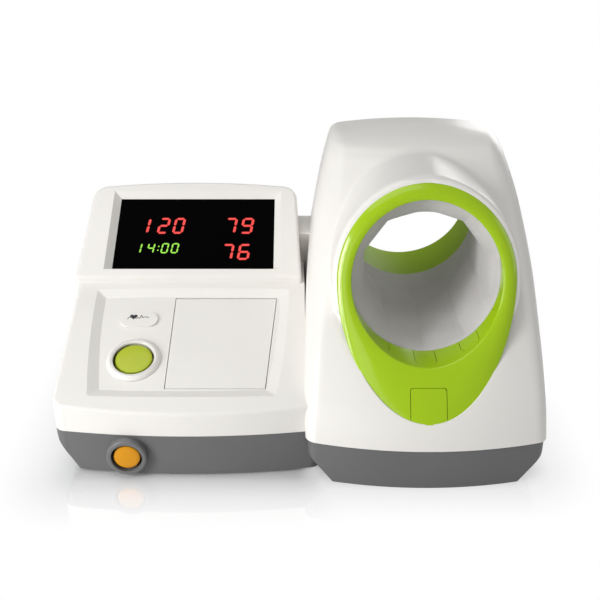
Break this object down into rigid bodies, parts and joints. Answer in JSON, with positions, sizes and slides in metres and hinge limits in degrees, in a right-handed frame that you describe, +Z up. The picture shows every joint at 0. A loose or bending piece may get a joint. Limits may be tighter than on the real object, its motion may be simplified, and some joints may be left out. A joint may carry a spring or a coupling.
{
  "type": "arm-in blood pressure monitor",
  "caption": "Table-top blood pressure monitor: sloping console with start button, paper door and raised display, joined to an arm unit with a lined cuff tunnel.",
  "frame": {"origin": "on the resting surface, under the middle of the whole object", "axes": "+X to the right as the user sees it, +Y to the rear along the arm tunnel, +Z up"},
  "size_m": [0.528, 0.366, 0.314],
  "materials": {
    "white_shell": "fine satin moulded plastic",
    "dark_shell": "fine satin moulded plastic",
    "boss_grey": "satin moulded plastic",
    "lime_ring": "glossy moulded plastic",
    "button_green": "glossy moulded plastic",
    "button_orange": "glossy moulded plastic",
    "screen_black": "polished smoked acrylic",
    "cuff_fabric": "woven polyester",
    "bladder_rubber": "smooth rubber",
    "foot_rubber": "matte rubber",
    "platen_rubber": "ground rubber",
    "drum_plastic": "plain moulded plastic",
    "gear_plastic": "acetal",
    "steel": "bright steel",
    "pump_metal": "painted steel",
    "board_green": "solder-masked laminate",
    "part_black": "moulded plastic",
    "led_red": "red lit figures under smoked acrylic",
    "led_green": "green lit figures under smoked acrylic",
    "paper": "smooth thermal paper, held as a plain matte solid"
  },
  "bodies": {
    "monitor": {"arm_housing": "white_shell", "arm_ring": "lime_ring", "cuff_clips": "lime_ring", "latch_pin": "steel", "rear_ring": "lime_ring", "arm_base": "dark_shell", "console_cover": "white_shell", "console_base": "dark_shell", "display_housing": "white_shell", "link_cover": "dark_shell", "start_bezel": "white_shell", "start_spring": "steel", "start_switch": "part_black", "key_board": "board_green", "board_pillars": "drum_plastic", "heart_indicator": "white_shell", "door_hinge_pins": "steel", "paper_tub": "drum_plastic", "paper_spindle": "drum_plastic", "feed_motor": "steel", "print_head": "part_black", "stop_guard": "boss_grey", "stop_spring": "steel", "stop_switch": "part_black", "display_window": "screen_black", "red_displays": "led_red", "green_display": "led_green", "display_board": "board_green", "power_inlet": "part_black", "main_board": "board_green", "board_chips": "part_black", "pressure_sensor": "part_black", "power_supply": "pump_metal", "speaker": "part_black", "cuff_drum": "drum_plastic", "air_bladder": "bladder_rubber", "cuff_cover": "cuff_fabric", "chassis_plate": "steel", "drum_saddles": "drum_plastic", "winding_motor": "steel", "air_pump": "pump_metal", "exhaust_valves": "pump_metal", "air_hose": "bladder_rubber", "rubber_feet": "foot_rubber", "case_screws": "steel"},
    "start_button": {"start_button": "button_green"},
    "stop_button": {"stop_button": "button_orange"},
    "printer_door": {"printer_door": "white_shell"},
    "paper_roll": {"paper_roll": "paper"},
    "platen": {"platen_roller": "platen_rubber", "platen_shaft": "steel", "platen_gear": "gear_plastic"},
    "feed_pinion": {"feed_pinion": "gear_plastic"},
    "ring_latch": {"ring_latch": "lime_ring"},
    "power_rocker": {"power_rocker": "part_black"},
    "winding_gear": {"winding_gear": "gear_plastic"},
    "winding_pinion": {"winding_pinion": "gear_plastic"}
  },
  "joints": [
    {"name": "start_press", "type": "slide", "parent": "monitor", "child": "start_button", "axis": [0, 0.3469, -0.9379], "range_m": [0, 0.0025], "stiffness_N_per_m": 600, "springref_m": -0.001, "deforming": ["start_spring"]},
    {"name": "stop_press", "type": "slide", "parent": "monitor", "child": "stop_button", "axis": [0, 1, 0], "range_m": [0, 0.003], "stiffness_N_per_m": 700, "springref_m": -0.001, "deforming": ["stop_spring"]},
    {"name": "door_hinge", "type": "hinge", "parent": "monitor", "child": "printer_door", "pos_m": [-0.13, 0.00345, 0.13126], "axis": [-1, 0, 0], "range_deg": [0, 100]},
    {"name": "roll_spin", "type": "hinge", "parent": "monitor", "child": "paper_roll", "pos_m": [-0.13, -0.03128, 0.08824], "axis": [1, 0, 0], "continuous": true},
    {"name": "platen_spin", "type": "hinge", "parent": "monitor", "child": "platen", "pos_m": [-0.13, -0.1004, 0.07333], "axis": [1, 0, 0], "continuous": true},
    {"name": "feed_pinion_spin", "type": "hinge", "parent": "monitor", "child": "feed_pinion", "pos_m": [-0.13, -0.09312, 0.05364], "axis": [1, 0, 0], "continuous": true},
    {"name": "latch_lift", "type": "hinge", "parent": "monitor", "child": "ring_latch", "pos_m": [0.1345, -0.14878, 0.10176], "axis": [-1, 0, 0], "range_deg": [0, 20], "stiffness_Nm_per_rad": 0.05, "springref_deg": -2.86},
    {"name": "rocker_switch", "type": "hinge", "parent": "monitor", "child": "power_rocker", "pos_m": [-0.1815, 0.177, 0.031], "axis": [1, 0, 0], "range_deg": [0, 16]},
    {"name": "winding_turn", "type": "hinge", "parent": "monitor", "child": "winding_gear", "pos_m": [0.1345, 0, 0.2016], "axis": [0, 1, 0], "range_deg": [0, 90]},
    {"name": "winding_pinion_turn", "type": "hinge", "parent": "monitor", "child": "winding_pinion", "pos_m": [0.1345, 0, 0.0951], "axis": [0, 1, 0], "range_deg": [-824, 0]}
  ],
  "couplings": [
    {"joint": "feed_pinion_spin", "follows": "platen_spin", "ratio": -2},
    {"joint": "winding_pinion_turn", "follows": "winding_turn", "ratio": -9.1429}
  ]
}
